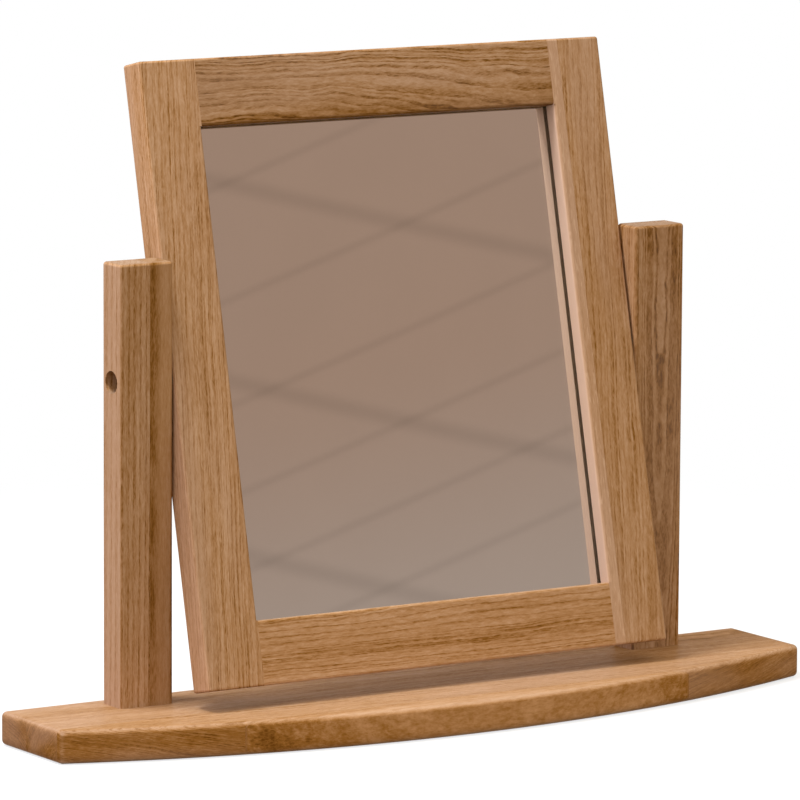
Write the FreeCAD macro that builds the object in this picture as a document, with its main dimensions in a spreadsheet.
"""Oak dressing table mirror: a bow-fronted base, two posts and a framed mirror that tilts between them.

Millimetres. +X runs to the right, +Y to the back and +Z up. The origin is on the underside of the base,
straight below the middle of the pivot axis. Pieces of the mirror are drawn upright about the pivot axis and
leaned back by their placement. Pieces that come in pairs are drawn on the left and mirrored to the right.
"""
import FreeCAD, Part
import os
import re

import Sketcher
from FreeCAD import Vector

DRIVING_SIZES = {
    # Base board
    "base_width": 660,
    "base_end_depth": 88,
    "base_bow": 62.5,
    "base_thickness": 25,
    "base_edge_radius": 4,
    # Posts
    "post_width": 45,
    "post_depth": 26,
    "post_above_pivot": 88,
    "post_back_inset": 14,
    "post_edge_radius": 2.5,
    # Mirror frame
    "frame_width": 409,
    "frame_height": 466,
    "frame_thickness": 24,
    "stile_width": 47.5,
    "top_rail_height": 50.5,
    "bottom_rail_height": 48.5,
    "frame_edge_radius": 2,
    "sight_edge_radius": 2.5,
    "tilt_angle": 12.6,
    "swing_clearance": 8,
    # Rebates for the glass and the back panel
    "lip_depth": 11,
    "glass_rebate_width": 8,
    "panel_ledge_width": 10,
    "glass_thickness": 4,
    "glass_clearance": 0.5,
    "glass_edge_chamfer": 0.5,
    "panel_thickness": 4,
    "panel_clearance": 0.5,
    "panel_edge_chamfer": 0.6,
    # Mortise and tenon joints
    "tenon_length": 30,
    "tenon_thickness": 8,
    "tenon_cover": 2,
    "tenon_end_margin": 10,
    "tenon_chamfer": 1,
    "mortise_relief": 1,
    # Pivots
    "pivot_gap": 1.5,
    "bolt_diameter": 6,
    "bolt_head_flats": 10,
    "bolt_head_height": 4,
    "bolt_head_bevel_diameter": 9.5,
    "bolt_head_bevel_angle": 30,
    "bolt_tip_chamfer": 0.8,
    "bolt_running_clearance": 0.05,
    "thread_engagement": 11.3,
    "counterbore_diameter": 17,
    "counterbore_depth": 20,
    "friction_washer_diameter": 20,
    "head_washer_diameter": 12,
    "head_washer_thickness": 1.6,
    "spring_washer_section": 2.5,
    "spring_washer_thickness": 1.6,
    "spring_washer_split": 1.2,
    "washer_bore_clearance": 0.1,
    "insert_diameter": 10,
    "insert_length": 13,
    "insert_collar_diameter": 12,
    "insert_collar_thickness": 1,
    "insert_lead_chamfer": 0.8,
    "insert_slot_width": 1.6,
    "insert_slot_depth": 3,
    "insert_bore_relief": 2,
    # Screws up through the base into the posts
    "post_screw_diameter": 5,
    "post_screw_head_diameter": 10,
    "post_screw_head_angle": 90,
    "post_screw_head_sink": 0.3,
    "post_screw_bite": 35,
    "post_screw_spacing": 22,
    # Screws that hold the back panel
    "panel_screw_diameter": 3,
    "panel_screw_head_diameter": 6,
    "panel_screw_head_height": 2,
    "panel_screw_head_bevel": 0.8,
    "panel_screw_bite": 8,
    "panel_screw_rail_spacing": 190,
    "panel_screw_stile_spacing": 220,
    # Common to all screws and inserts
    "screw_clearance": 0.05,
    "screw_hole_relief": 1,
}

# Places and sizes that follow from the driving sizes
POST_X = "(frame_width / 2 + pivot_gap + post_width / 2)"
POST_HEIGHT = "(frame_height / 2 + swing_clearance + post_above_pivot)"
PIVOT_ABOVE_BASE = "(frame_height / 2 + swing_clearance)"
PIVOT_HEIGHT = f"(base_thickness + {PIVOT_ABOVE_BASE})"
BASE_BACK = "(post_depth / 2 + post_back_inset)"
BASE_END_FRONT = f"({BASE_BACK} - base_end_depth)"
BOW_RADIUS = "((pow(base_width / 2; 2) + pow(base_bow; 2)) / (2 * base_bow))"
FRAME_LEFT = "(-frame_width / 2)"
FRAME_TOP = "(frame_height / 2)"
FRAME_BOTTOM = "(-frame_height / 2)"
FRAME_FRONT = "(-frame_thickness / 2)"
FRAME_BACK = "(frame_thickness / 2)"
SIGHT_LEFT = f"({FRAME_LEFT} + stile_width)"
SIGHT_RIGHT = f"(-{SIGHT_LEFT})"
SIGHT_TOP = f"({FRAME_TOP} - top_rail_height)"
SIGHT_BOTTOM = f"({FRAME_BOTTOM} + bottom_rail_height)"
PANEL_REBATE_WIDTH = "(glass_rebate_width + panel_ledge_width)"
GLASS_FRONT = f"({FRAME_FRONT} + lip_depth)"
PANEL_FRONT = f"({GLASS_FRONT} + glass_thickness)"
PANEL_BACK = f"({PANEL_FRONT} + panel_thickness)"
PANEL_SCREW_INSET = "(glass_rebate_width + panel_ledge_width / 2)"
TENON_BACK = f"({PANEL_FRONT} - tenon_cover)"
TENON_FRONT = f"({TENON_BACK} - tenon_thickness)"
TENON_INNER_MARGIN = "(glass_rebate_width + tenon_cover)"
BOLT_SEAT = f"({FRAME_LEFT} - pivot_gap - post_width + counterbore_depth)"
HEAD_WASHER_OUTSIDE = f"({BOLT_SEAT} - head_washer_thickness)"
BOLT_HEAD_SEAT = f"({HEAD_WASHER_OUTSIDE} - spring_washer_thickness)"
BOLT_HEAD_OUTSIDE = f"({BOLT_HEAD_SEAT} - bolt_head_height)"
BOLT_LENGTH = f"({FRAME_LEFT} + thread_engagement - {BOLT_HEAD_SEAT})"
BOLT_CORNER_RADIUS = "(bolt_head_flats / sqrt(3))"
WASHER_BORE = "(bolt_diameter + 2 * washer_bore_clearance)"
POST_SCREW_HEAD_SLOPE = "tan(post_screw_head_angle / 2 * 1deg)"

# Low and high edges of the tenons on each rail
TOP_TENON = (f"({SIGHT_TOP} + {TENON_INNER_MARGIN})", f"({FRAME_TOP} - tenon_end_margin)")
BOTTOM_TENON = (f"({FRAME_BOTTOM} + tenon_end_margin)", f"({SIGHT_BOTTOM} - {TENON_INNER_MARGIN})")

# Where the screws of the back panel stand in each piece of the frame, across and up from the pivot
RAIL_SCREWS_X = ("-panel_screw_rail_spacing / 2", "panel_screw_rail_spacing / 2")
STILE_SCREWS_Z = ("-panel_screw_stile_spacing / 2", "panel_screw_stile_spacing / 2")
LEFT_STILE_SCREWS = [(f"{SIGHT_LEFT} - {PANEL_SCREW_INSET}", up) for up in STILE_SCREWS_Z]
RIGHT_STILE_SCREWS = [(f"{SIGHT_RIGHT} + {PANEL_SCREW_INSET}", up) for up in STILE_SCREWS_Z]
TOP_RAIL_SCREWS = [(across, f"{SIGHT_TOP} + {PANEL_SCREW_INSET}") for across in RAIL_SCREWS_X]
BOTTOM_RAIL_SCREWS = [(across, f"{SIGHT_BOTTOM} - {PANEL_SCREW_INSET}") for across in RAIL_SCREWS_X]
PANEL_SCREWS = LEFT_STILE_SCREWS + RIGHT_STILE_SCREWS + TOP_RAIL_SCREWS + BOTTOM_RAIL_SCREWS

# Where the screws of a post stand, across from the middle of the post
POST_SCREWS_X = ("-post_screw_spacing / 2", "post_screw_spacing / 2")

SAME_PLACE = 1e-6
FULL_TURN = 360
HEXAGON_CORNERS = 6

doc = FreeCAD.newDocument("DressingTableMirror")
sheet = doc.addObject("Spreadsheet::Sheet", "Sizes")
for row, (alias, number) in enumerate(DRIVING_SIZES.items(), start=1):
    sheet.set(f"A{row}", alias)
    sheet.set(f"B{row}", str(number))
    sheet.setAlias(f"B{row}", alias)
doc.recompute()


def on_sheet(formula):
    """Turns a formula such as 'frame_width / 2' into an expression that reads the sheet."""
    def read(word):
        return f"Sizes.{word[0]}" if word[0] in DRIVING_SIZES else word[0]
    return re.sub(r"[a-z_]+", read, formula)


def bind(item, name, formula):
    """Ties one property of an object to a formula on the sheet."""
    item.setExpression(name, on_sheet(formula))


def value(formula):
    """What a formula comes to with the sizes as they stand, in millimetres."""
    return float(sheet.evalExpression(on_sheet(formula)))


def new_body(label, place=("0", "0", "0")):
    """A body that stands upright at a place given by three formulas."""
    body = doc.addObject("PartDesign::Body", label)
    body.Label = label
    for axis, formula in zip("xyz", place):
        bind(body, f"Placement.Base.{axis}", formula)
    return body


def new_leaned_body(label):
    """A body drawn upright about the pivot axis and leaned back with the mirror."""
    body = doc.addObject("PartDesign::Body", label)
    body.Label = label
    lean = "rotation(vector(-1; 0; 0); tilt_angle)"
    bind(body, "Placement", f"placement(vector(0; 0; {PIVOT_HEIGHT}); {lean})")
    return body


def origin_feature(body, role):
    """The origin plane or axis of a body that has this role."""
    for feature in body.Origin.OriginFeatures:
        if feature.Role == role:
            return feature
    raise ValueError(f"{body.Label} has no {role}")


def new_sketch(body, name, role, offset="0"):
    """A sketch on an origin plane, moved along that plane's normal by a formula."""
    sketch = body.newObject("Sketcher::SketchObject", f"{body.Label}_{name}")
    sketch.AttachmentSupport = [(origin_feature(body, role), "")]
    sketch.MapMode = "FlatFace"
    bind(sketch, "AttachmentOffset.Base.z", offset)
    return sketch


def hold_point(sketch, geometry, end, across, up):
    """Ties one point of a sketch to two formulas, measured from the sketch's origin."""
    for kind, formula in (("DistanceX", across), ("DistanceY", up)):
        rule = sketch.addConstraint(Sketcher.Constraint(kind, -1, 1, geometry, end, value(formula)))
        bind(sketch, f"Constraints[{rule}]", formula)


def draw_outline(sketch, corners):
    """A closed outline of straight lines through corners given by pairs of formulas."""
    points = [Vector(value(across), value(up), 0) for across, up in corners]
    first = sketch.GeometryCount
    count = len(points)
    for index in range(count):
        sketch.addGeometry(Part.LineSegment(points[index], points[(index + 1) % count]), False)
    for index in range(count):
        line = first + index
        following = first + (index + 1) % count
        sketch.addConstraint(Sketcher.Constraint("Coincident", line, 2, following, 1))
        hold_point(sketch, line, 1, *corners[index])


def draw_rectangle(sketch, left, right, bottom, top):
    """A rectangle between four formulas."""
    draw_outline(sketch, [(left, bottom), (right, bottom), (right, top), (left, top)])


def draw_circle(sketch, across, up, diameter):
    """A circle at a place and of a diameter given by formulas."""
    centre = Vector(value(across), value(up), 0)
    circle = sketch.addGeometry(Part.Circle(centre, Vector(0, 0, 1), value(diameter) / 2), False)
    hold_point(sketch, circle, 3, across, up)
    rule = sketch.addConstraint(Sketcher.Constraint("Diameter", circle, value(diameter)))
    bind(sketch, f"Constraints[{rule}]", diameter)


def swept(body, kind, name, sketch, length, turned=False, both_ways=False):
    """A pad or a pocket of a sketch, over a length given by a formula."""
    feature = body.newObject(f"PartDesign::{kind}", f"{body.Label}_{name}")
    feature.Profile = sketch
    feature.Reversed = turned
    if both_ways:
        feature.SideType = "Symmetric"
    bind(feature, "Length", length)
    doc.recompute()
    return feature


def pad(body, name, sketch, length, turned=False, both_ways=False):
    """Adds a sketch's outline over a length."""
    return swept(body, "Pad", name, sketch, length, turned, both_ways)


def pocket(body, name, sketch, length, turned=False):
    """Cuts a sketch's outline over a length, and makes sure that something was cut."""
    before = body.Shape.Volume
    swept(body, "Pocket", name, sketch, length, turned)
    check_cut(body, name, before)


def check_cut(body, name, before):
    """Stops the build where a cut has taken nothing away."""
    if body.Shape.Volume > before - SAME_PLACE:
        raise ValueError(f"{name} cuts nothing from {body.Label}")


def drilled_hole(body, name, sketch, cut, sizes):
    """A hole along the sketch's normal with a sunk mouth, right through the body unless it has a Depth."""
    before = body.Shape.Volume
    hole = body.newObject("PartDesign::Hole", f"{body.Label}_{name}")
    hole.Profile = sketch
    hole.ThreadType = "None"
    hole.DrillPoint = "Flat"
    hole.Reversed = True
    hole.HoleCutType = cut
    hole.DepthType = "Dimension" if "Depth" in sizes else "ThroughAll"
    for name_of_size, formula in sizes.items():
        bind(hole, name_of_size, formula)
    doc.recompute()
    check_cut(body, name, before)


def edge_names(body, wanted):
    """The names of a body's edges whose two ends pass a test."""
    names = []
    for number, edge in enumerate(body.Shape.Edges, start=1):
        ends = [body.Placement.inverse().multVec(vertex.Point) for vertex in edge.Vertexes]
        if wanted(ends):
            names.append(f"Edge{number}")
    return names


def dressed(body, kind, name, edges, length):
    """A fillet or a chamfer on named edges of a body as it stands."""
    base = body.Tip
    feature = body.newObject(f"PartDesign::{kind}", f"{body.Label}_{name}")
    feature.Base = (base, edges)
    bind(feature, "Radius" if kind == "Fillet" else "Size", length)
    doc.recompute()


def revolved(body, kind, name, sketch):
    """A full turn of a sketch about the pivot axis, added or cut."""
    feature = body.newObject(f"PartDesign::{kind}", f"{body.Label}_{name}")
    feature.Profile = sketch
    feature.ReferenceAxis = (origin_feature(body, "X_Axis"), [""])
    feature.Angle = FULL_TURN
    doc.recompute()


def mirrored(source, label):
    """The right hand piece of a pair, mirrored from the left one across the middle of the object."""
    piece = doc.addObject("Part::Mirroring", label)
    piece.Label = label
    piece.Source = source
    piece.Normal = Vector(1, 0, 0)
    return piece


def at(coordinate, formula):
    """A test that all the ends of an edge lie at one coordinate."""
    place = value(formula)
    return lambda ends: all(abs(getattr(end, coordinate) - place) < SAME_PLACE for end in ends)


def runs_across(ends):
    """Whether the ends of an edge lie apart along X."""
    return abs(ends[0].x - ends[-1].x) > SAME_PLACE


def make_base_board():
    """Solid board with straight back and ends, a bowed front, rounded edges and countersunk screw holes."""
    body = new_body("base_board")
    outline = new_sketch(body, "outline", "XY_Plane")
    left, right = "-base_width / 2", "base_width / 2"
    corners = [(left, BASE_BACK), (left, BASE_END_FRONT), (right, BASE_END_FRONT), (right, BASE_BACK)]
    points = [Vector(value(across), value(up), 0) for across, up in corners]
    bow_middle = Vector(0, value(f"{BASE_END_FRONT} - base_bow"), 0)
    outline.addGeometry(Part.LineSegment(points[0], points[1]), False)
    outline.addGeometry(Part.Arc(points[1], bow_middle, points[2]), False)
    outline.addGeometry(Part.LineSegment(points[2], points[3]), False)
    outline.addGeometry(Part.LineSegment(points[3], points[0]), False)
    for geometry in range(len(corners)):
        following = (geometry + 1) % len(corners)
        outline.addConstraint(Sketcher.Constraint("Coincident", geometry, 2, following, 1))
    for geometry, end, corner in ((0, 1, 0), (0, 2, 1), (2, 1, 2), (2, 2, 3)):
        hold_point(outline, geometry, end, *corners[corner])
    rule = outline.addConstraint(Sketcher.Constraint("Radius", 1, value(BOW_RADIUS)))
    bind(outline, f"Constraints[{rule}]", BOW_RADIUS)
    pad(body, "board", outline, "base_thickness")
    dressed(body, "Fillet", "rounded_edges", edge_names(body, lambda ends: True), "base_edge_radius")
    holes = new_sketch(body, "screw_centres", "XY_Plane")
    for post in (f"-{POST_X}", POST_X):
        for across in POST_SCREWS_X:
            draw_circle(holes, f"{post} + ({across})", "0", "post_screw_diameter")
    sunk = f"2 * post_screw_head_sink * {POST_SCREW_HEAD_SLOPE}"
    drilled_hole(body, "screw_holes", holes, "Countersink", {
        "Diameter": "post_screw_diameter + 2 * screw_clearance",
        "HoleCutDiameter": f"post_screw_head_diameter + {sunk} + 2 * screw_clearance",
        "HoleCutCountersinkAngle": "post_screw_head_angle",
    })
    return body


def make_post():
    """Upright with eased edges, a counterbored pivot hole from its outer face and pilot holes in its foot."""
    body = new_body("left_post", (f"-{POST_X}", "0", "base_thickness"))
    section = new_sketch(body, "section", "XY_Plane")
    draw_rectangle(section, "-post_width / 2", "post_width / 2", "-post_depth / 2", "post_depth / 2")
    pad(body, "upright", section, POST_HEIGHT)
    on_foot = at("z", "0")
    eased = edge_names(body, lambda ends: not on_foot(ends))
    dressed(body, "Fillet", "eased_edges", eased, "post_edge_radius")
    centre = new_sketch(body, "pivot_centre", "YZ_Plane", "-post_width / 2")
    draw_circle(centre, "0", PIVOT_ABOVE_BASE, "bolt_diameter")
    drilled_hole(body, "pivot_hole", centre, "Counterbore", {
        "Diameter": "bolt_diameter + 2 * bolt_running_clearance",
        "HoleCutDiameter": "counterbore_diameter",
        "HoleCutDepth": "counterbore_depth",
    })
    pilots = new_sketch(body, "screw_pilots", "XY_Plane")
    for across in POST_SCREWS_X:
        draw_circle(pilots, across, "0", "post_screw_diameter + 2 * screw_clearance")
    pocket(body, "pilot_holes", pilots, "post_screw_bite + screw_hole_relief", turned=True)
    return body


def make_post_screws():
    """Countersunk wood screws, two under each post, with their heads just below the underside of the base."""
    body = new_body("post_screws")
    centres = [f"{post} + ({across})" for post in (f"-{POST_X}", POST_X) for across in POST_SCREWS_X]
    heads = new_sketch(body, "heads", "XY_Plane", "post_screw_head_sink")
    shanks = new_sketch(body, "shanks", "XY_Plane", "post_screw_head_sink")
    for across in centres:
        draw_circle(heads, across, "0", "post_screw_head_diameter")
        draw_circle(shanks, across, "0", "post_screw_diameter")
    head_overhang = "(post_screw_head_diameter - post_screw_diameter) / 2"
    cones = pad(body, "head_cones", heads, f"{head_overhang} / {POST_SCREW_HEAD_SLOPE}")
    bind(cones, "TaperAngle", "-post_screw_head_angle / 2")
    pad(body, "shank_rods", shanks, "base_thickness + post_screw_bite - post_screw_head_sink")
    return body


def make_ring(body, name, offset, outside, bore, thickness, turned):
    """A flat ring about the pivot axis."""
    rings = new_sketch(body, name, "YZ_Plane", offset)
    draw_circle(rings, "0", "0", outside)
    draw_circle(rings, "0", "0", bore)
    pad(body, f"{name}_ring", rings, thickness, turned)


def make_friction_washer():
    """Plain washer that fills the gap between post and frame, and that the frame turns against."""
    place = (f"{FRAME_LEFT} - pivot_gap", "0", PIVOT_HEIGHT)
    body = new_body("left_friction_washer", place)
    make_ring(body, "washer", "0", "friction_washer_diameter", WASHER_BORE, "pivot_gap", turned=False)
    return body


def make_head_washer():
    """Flat washer on the seat of the counterbore."""
    body = new_leaned_body("left_head_washer")
    make_ring(body, "washer", BOLT_SEAT, "head_washer_diameter", WASHER_BORE, "head_washer_thickness",
              turned=True)
    return body


def make_spring_washer():
    """Split washer under the bolt head, drawn pressed flat."""
    body = new_leaned_body("left_spring_washer")
    outside = f"({WASHER_BORE} + 2 * spring_washer_section)"
    make_ring(body, "washer", HEAD_WASHER_OUTSIDE, outside, WASHER_BORE, "spring_washer_thickness",
              turned=True)
    split = new_sketch(body, "split", "YZ_Plane", BOLT_HEAD_SEAT)
    draw_rectangle(split, "-spring_washer_split / 2", "spring_washer_split / 2", "0", outside)
    pocket(body, "split_gap", split, "spring_washer_thickness", turned=True)
    return body


def make_pivot_bolt():
    """Hexagon bolt on the pivot axis, from the counterbore of the post into the insert of the stile."""
    body = new_leaned_body("left_pivot_bolt")
    shank = new_sketch(body, "shank", "YZ_Plane", BOLT_HEAD_SEAT)
    draw_circle(shank, "0", "0", "bolt_diameter")
    pad(body, "shank_rod", shank, BOLT_LENGTH)
    on_tip = at("x", f"{BOLT_HEAD_SEAT} + {BOLT_LENGTH}")
    dressed(body, "Chamfer", "tip", edge_names(body, on_tip), "bolt_tip_chamfer")
    hexagon = new_sketch(body, "hexagon", "YZ_Plane", BOLT_HEAD_SEAT)
    step = FULL_TURN / HEXAGON_CORNERS
    draw_outline(hexagon, [(f"{BOLT_CORNER_RADIUS} * cos({corner * step}deg)",
                            f"{BOLT_CORNER_RADIUS} * sin({corner * step}deg)")
                           for corner in range(HEXAGON_CORNERS)])
    pad(body, "head", hexagon, "bolt_head_height", turned=True)
    bevel = new_sketch(body, "bevel", "XY_Plane")
    rise = "(bolt_head_flats - bolt_head_bevel_diameter / 2)"
    run = f"{rise} * tan(bolt_head_bevel_angle * 1deg)"
    draw_outline(bevel, [(BOLT_HEAD_OUTSIDE, "bolt_head_bevel_diameter / 2"),
                         (BOLT_HEAD_OUTSIDE, "bolt_head_flats"),
                         (f"{BOLT_HEAD_OUTSIDE} + {run}", "bolt_head_flats")])
    before = body.Shape.Volume
    revolved(body, "Groove", "head_bevel", bevel)
    check_cut(body, "head_bevel", before)
    return body


def make_threaded_insert():
    """Collared insert in the edge of the stile, with a slot across its mouth for driving it in."""
    body = new_leaned_body("left_threaded_insert")
    profile = new_sketch(body, "profile", "XY_Plane")
    bore_radius = "(bolt_diameter / 2 + screw_clearance)"
    collar_inside = f"{FRAME_LEFT} + insert_collar_thickness"
    inner_end = f"{FRAME_LEFT} + insert_length"
    draw_outline(profile, [(FRAME_LEFT, bore_radius),
                           (FRAME_LEFT, "insert_collar_diameter / 2"),
                           (collar_inside, "insert_collar_diameter / 2"),
                           (collar_inside, "insert_diameter / 2"),
                           (f"{inner_end} - insert_lead_chamfer", "insert_diameter / 2"),
                           (inner_end, "insert_diameter / 2 - insert_lead_chamfer"),
                           (inner_end, bore_radius)])
    revolved(body, "Revolution", "turned", profile)
    slot = new_sketch(body, "slot", "YZ_Plane", FRAME_LEFT)
    draw_rectangle(slot, "-insert_collar_diameter", "insert_collar_diameter",
                   "-insert_slot_width / 2", "insert_slot_width / 2")
    pocket(body, "driving_slot", slot, "insert_slot_depth", turned=True)
    return body


def cut_rebates(body, glass_edges, panel_edges):
    """Cuts the glass rebate and the wider, shallower panel rebate from the back of a piece of the frame.

    The edges of each rebate are its left, right, bottom and top.
    """
    for name, edges, depth in (("glass_rebate", glass_edges, f"{FRAME_BACK} - {GLASS_FRONT}"),
                               ("panel_rebate", panel_edges, f"{FRAME_BACK} - {PANEL_FRONT}")):
        sketch = new_sketch(body, name, "XZ_Plane", f"-{FRAME_BACK}")
        draw_rectangle(sketch, *edges)
        pocket(body, f"{name}_cut", sketch, depth, turned=True)


def drill_panel_pilots(body, places):
    """Pilot holes for the screws of the back panel, in the ledge that the panel lies on."""
    pilots = new_sketch(body, "panel_pilots", "XZ_Plane", f"-{FRAME_BACK}")
    for across, up in places:
        draw_circle(pilots, across, up, "panel_screw_diameter + 2 * screw_clearance")
    depth = f"{FRAME_BACK} - {PANEL_FRONT} + panel_screw_bite + screw_hole_relief"
    pocket(body, "panel_pilot_holes", pilots, depth, turned=True)


def make_stile():
    """Full height upright of the frame: eased edges, two mortises, stopped rebates and the insert's bore."""
    body = new_leaned_body("left_stile")
    face = new_sketch(body, "face", "XZ_Plane")
    draw_rectangle(face, FRAME_LEFT, SIGHT_LEFT, FRAME_BOTTOM, FRAME_TOP)
    pad(body, "blank", face, "frame_thickness", both_ways=True)
    on_sight_edge = at("x", SIGHT_LEFT)
    eased = edge_names(body, lambda ends: not on_sight_edge(ends))
    dressed(body, "Fillet", "eased_edges", eased, "frame_edge_radius")
    mortises = new_sketch(body, "mortises", "YZ_Plane", SIGHT_LEFT)
    for low, high in (TOP_TENON, BOTTOM_TENON):
        draw_rectangle(mortises, TENON_FRONT, TENON_BACK, low, high)
    pocket(body, "mortise_cuts", mortises, "tenon_length + mortise_relief")
    glass = (f"{SIGHT_LEFT} - glass_rebate_width", SIGHT_LEFT,
             f"{SIGHT_BOTTOM} - glass_rebate_width", f"{SIGHT_TOP} + glass_rebate_width")
    panel = (f"{SIGHT_LEFT} - {PANEL_REBATE_WIDTH}", SIGHT_LEFT,
             f"{SIGHT_BOTTOM} - {PANEL_REBATE_WIDTH}", f"{SIGHT_TOP} + {PANEL_REBATE_WIDTH}")
    cut_rebates(body, glass, panel)
    ease_stile_sight_edge(body)
    drill_panel_pilots(body, LEFT_STILE_SCREWS)
    centre = new_sketch(body, "insert_centre", "YZ_Plane", FRAME_LEFT)
    draw_circle(centre, "0", "0", "insert_diameter")
    drilled_hole(body, "insert_bore", centre, "Counterbore", {
        "Diameter": "insert_diameter + 2 * screw_clearance",
        "HoleCutDiameter": "insert_collar_diameter + 2 * screw_clearance",
        "HoleCutDepth": "insert_collar_thickness",
        "Depth": "insert_length + insert_bore_relief",
    })
    return body


def ease_stile_sight_edge(body):
    """Rounds the front edge of a stile over the opening only, so that the rails still meet a square edge."""
    waste = new_sketch(body, "sight_edge", "XY_Plane", SIGHT_BOTTOM)
    corner = (SIGHT_LEFT, FRAME_FRONT)
    on_front = (f"{SIGHT_LEFT} - sight_edge_radius", FRAME_FRONT)
    on_edge = (SIGHT_LEFT, f"{FRAME_FRONT} + sight_edge_radius")
    start, end, square = (Vector(value(across), value(up), 0) for across, up in (on_front, on_edge, corner))
    radius = value("sight_edge_radius")
    centre = Vector(start.x, end.y, 0)
    middle = centre + (square - centre).normalize() * radius
    waste.addGeometry(Part.LineSegment(start, square), False)
    waste.addGeometry(Part.LineSegment(square, end), False)
    waste.addGeometry(Part.Arc(start, middle, end), False)
    waste.addConstraint(Sketcher.Constraint("Coincident", 0, 2, 1, 1))
    waste.addConstraint(Sketcher.Constraint("Coincident", 2, 1, 0, 1))
    waste.addConstraint(Sketcher.Constraint("Coincident", 2, 2, 1, 2))
    hold_point(waste, 0, 1, *on_front)
    hold_point(waste, 0, 2, *corner)
    hold_point(waste, 1, 2, *on_edge)
    rule = waste.addConstraint(Sketcher.Constraint("Radius", 2, radius))
    bind(waste, f"Constraints[{rule}]", "sight_edge_radius")
    pocket(body, "sight_edge_round", waste, f"{SIGHT_TOP} - {SIGHT_BOTTOM}", turned=True)


def make_rail(label, outer, sight, tenon, glass_heights, panel_heights, screws):
    """Rail between the stiles, with a tenon at each end, eased edges and rebates along its back."""
    body = new_leaned_body(label)
    face = new_sketch(body, "face", "XZ_Plane")
    draw_rectangle(face, SIGHT_LEFT, SIGHT_RIGHT, outer, sight)
    pad(body, "blank", face, "frame_thickness", both_ways=True)
    along_outside = edge_names(body, lambda ends: at("z", outer)(ends) and runs_across(ends))
    dressed(body, "Fillet", "eased_edges", along_outside, "frame_edge_radius")
    along_sight = edge_names(body, lambda ends: at("z", sight)(ends) and at("y", FRAME_FRONT)(ends))
    dressed(body, "Fillet", "sight_edge", along_sight, "sight_edge_radius")
    section = new_sketch(body, "tenon", "YZ_Plane")
    draw_rectangle(section, TENON_FRONT, TENON_BACK, *tenon)
    pad(body, "tenons", section, f"{SIGHT_RIGHT} - {SIGHT_LEFT} + 2 * tenon_length", both_ways=True)
    at_left, at_right = at("x", f"{SIGHT_LEFT} - tenon_length"), at("x", f"{SIGHT_RIGHT} + tenon_length")
    tenon_ends = edge_names(body, lambda ends: at_left(ends) or at_right(ends))
    dressed(body, "Chamfer", "tenon_leads", tenon_ends, "tenon_chamfer")
    shoulders = (SIGHT_LEFT, SIGHT_RIGHT)
    cut_rebates(body, shoulders + glass_heights, shoulders + panel_heights)
    drill_panel_pilots(body, screws)
    return body


def make_top_rail():
    """Upper rail of the frame."""
    glass = (SIGHT_TOP, f"{SIGHT_TOP} + glass_rebate_width")
    panel = (SIGHT_TOP, f"{SIGHT_TOP} + {PANEL_REBATE_WIDTH}")
    return make_rail("top_rail", FRAME_TOP, SIGHT_TOP, TOP_TENON, glass, panel, TOP_RAIL_SCREWS)


def make_bottom_rail():
    """Lower rail of the frame."""
    glass = (f"{SIGHT_BOTTOM} - glass_rebate_width", SIGHT_BOTTOM)
    panel = (f"{SIGHT_BOTTOM} - {PANEL_REBATE_WIDTH}", SIGHT_BOTTOM)
    return make_rail("bottom_rail", FRAME_BOTTOM, SIGHT_BOTTOM, BOTTOM_TENON, glass, panel,
                     BOTTOM_RAIL_SCREWS)


def make_pane(label, front, thickness, overlap, edge_chamfer):
    """A flat pane behind the sight opening that reaches past its edges by an overlap."""
    body = new_leaned_body(label)
    face = new_sketch(body, "face", "XZ_Plane", f"-{front}")
    draw_rectangle(face, f"{SIGHT_LEFT} - ({overlap})", f"{SIGHT_RIGHT} + ({overlap})",
                   f"{SIGHT_BOTTOM} - ({overlap})", f"{SIGHT_TOP} + ({overlap})")
    pad(body, "pane", face, thickness, turned=True)
    dressed(body, "Chamfer", "edges", edge_names(body, lambda ends: True), edge_chamfer)
    return body


def make_mirror_glass():
    """Silvered glass, held against the lip of the frame."""
    return make_pane("mirror_glass", GLASS_FRONT, "glass_thickness",
                     "glass_rebate_width - glass_clearance", "glass_edge_chamfer")


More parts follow.
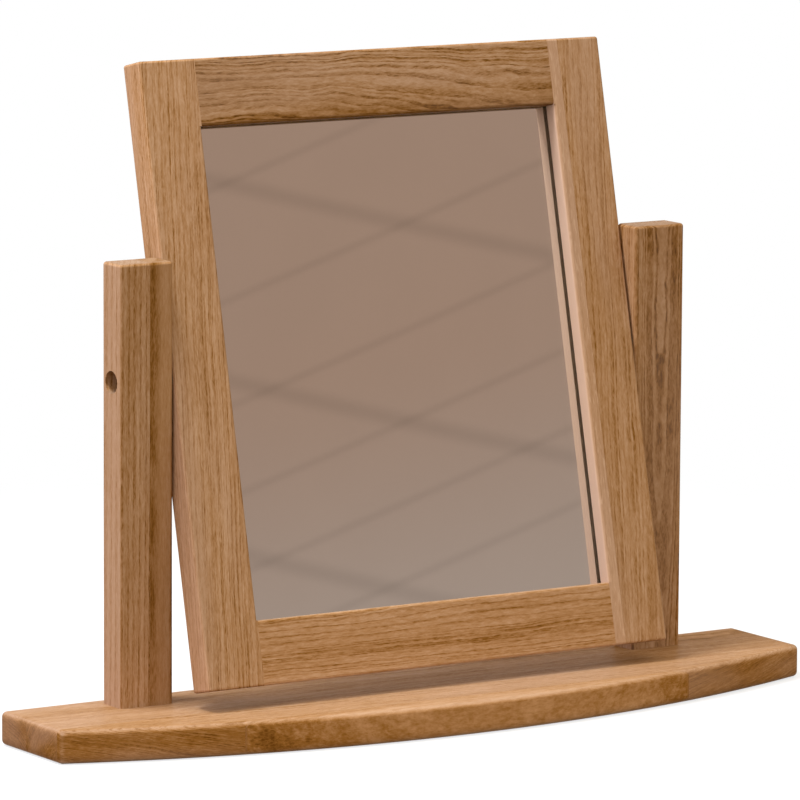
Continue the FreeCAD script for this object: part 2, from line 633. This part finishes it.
def make_back_panel():
    """Thin board that holds the glass in its rebate, with a clearance hole for each of its screws."""
    body = make_pane("back_panel", PANEL_FRONT, "panel_thickness",
                     f"{PANEL_REBATE_WIDTH} - panel_clearance", "panel_edge_chamfer")
    holes = new_sketch(body, "screw_holes", "XZ_Plane", f"-{PANEL_BACK}")
    for across, up in PANEL_SCREWS:
        draw_circle(holes, across, up, "panel_screw_diameter + 2 * screw_clearance")
    pocket(body, "screw_hole_cuts", holes, "panel_thickness", turned=True)
    return body


def make_back_panel_screws():
    """Pan head screws all round the back panel, below the back face of the frame."""
    body = new_leaned_body("back_panel_screws")
    heads = new_sketch(body, "heads", "XZ_Plane", f"-{PANEL_BACK}")
    shanks = new_sketch(body, "shanks", "XZ_Plane", f"-{PANEL_BACK}")
    for across, up in PANEL_SCREWS:
        draw_circle(heads, across, up, "panel_screw_head_diameter")
        draw_circle(shanks, across, up, "panel_screw_diameter")
    pad(body, "pan_heads", heads, "panel_screw_head_height", turned=True)
    on_crown = at("y", f"{PANEL_BACK} + panel_screw_head_height")
    dressed(body, "Chamfer", "crowns", edge_names(body, on_crown), "panel_screw_head_bevel")
    pad(body, "shank_rods", shanks, "panel_thickness + panel_screw_bite")
    return body


def make_pieces():
    """Every piece of the object, in the order in which it would be put together."""
    single = [make_base_board(), make_post_screws(), make_top_rail(), make_bottom_rail(),
              make_mirror_glass(), make_back_panel(), make_back_panel_screws()]
    left_hand = [make_post(), make_stile(), make_friction_washer(), make_head_washer(),
                 make_spring_washer(), make_pivot_bolt(), make_threaded_insert()]
    right_hand = [mirrored(piece, piece.Label.replace("left", "right")) for piece in left_hand]
    return single + left_hand + right_hand


def check_document(pieces):
    """Stops the build if any object failed or any piece is empty or invalid."""
    for item in doc.Objects:
        if "Invalid" in item.State or "Error" in item.State:
            raise RuntimeError(f"{item.Label} failed: {item.State}")
    for piece in pieces:
        if piece.Shape.isNull() or not piece.Shape.isValid():
            raise RuntimeError(f"{piece.Label} has no valid shape")


pieces = make_pieces()
doc.recompute()
check_document(pieces)
os.makedirs("parts", exist_ok=True)
for piece in pieces:
    piece.Shape.exportStep(f"parts/{piece.Label}.step")
    print(f"{piece.Label}: {len(piece.Shape.Solids)} solid, {piece.Shape.Volume / 1000:.2f} cm3")
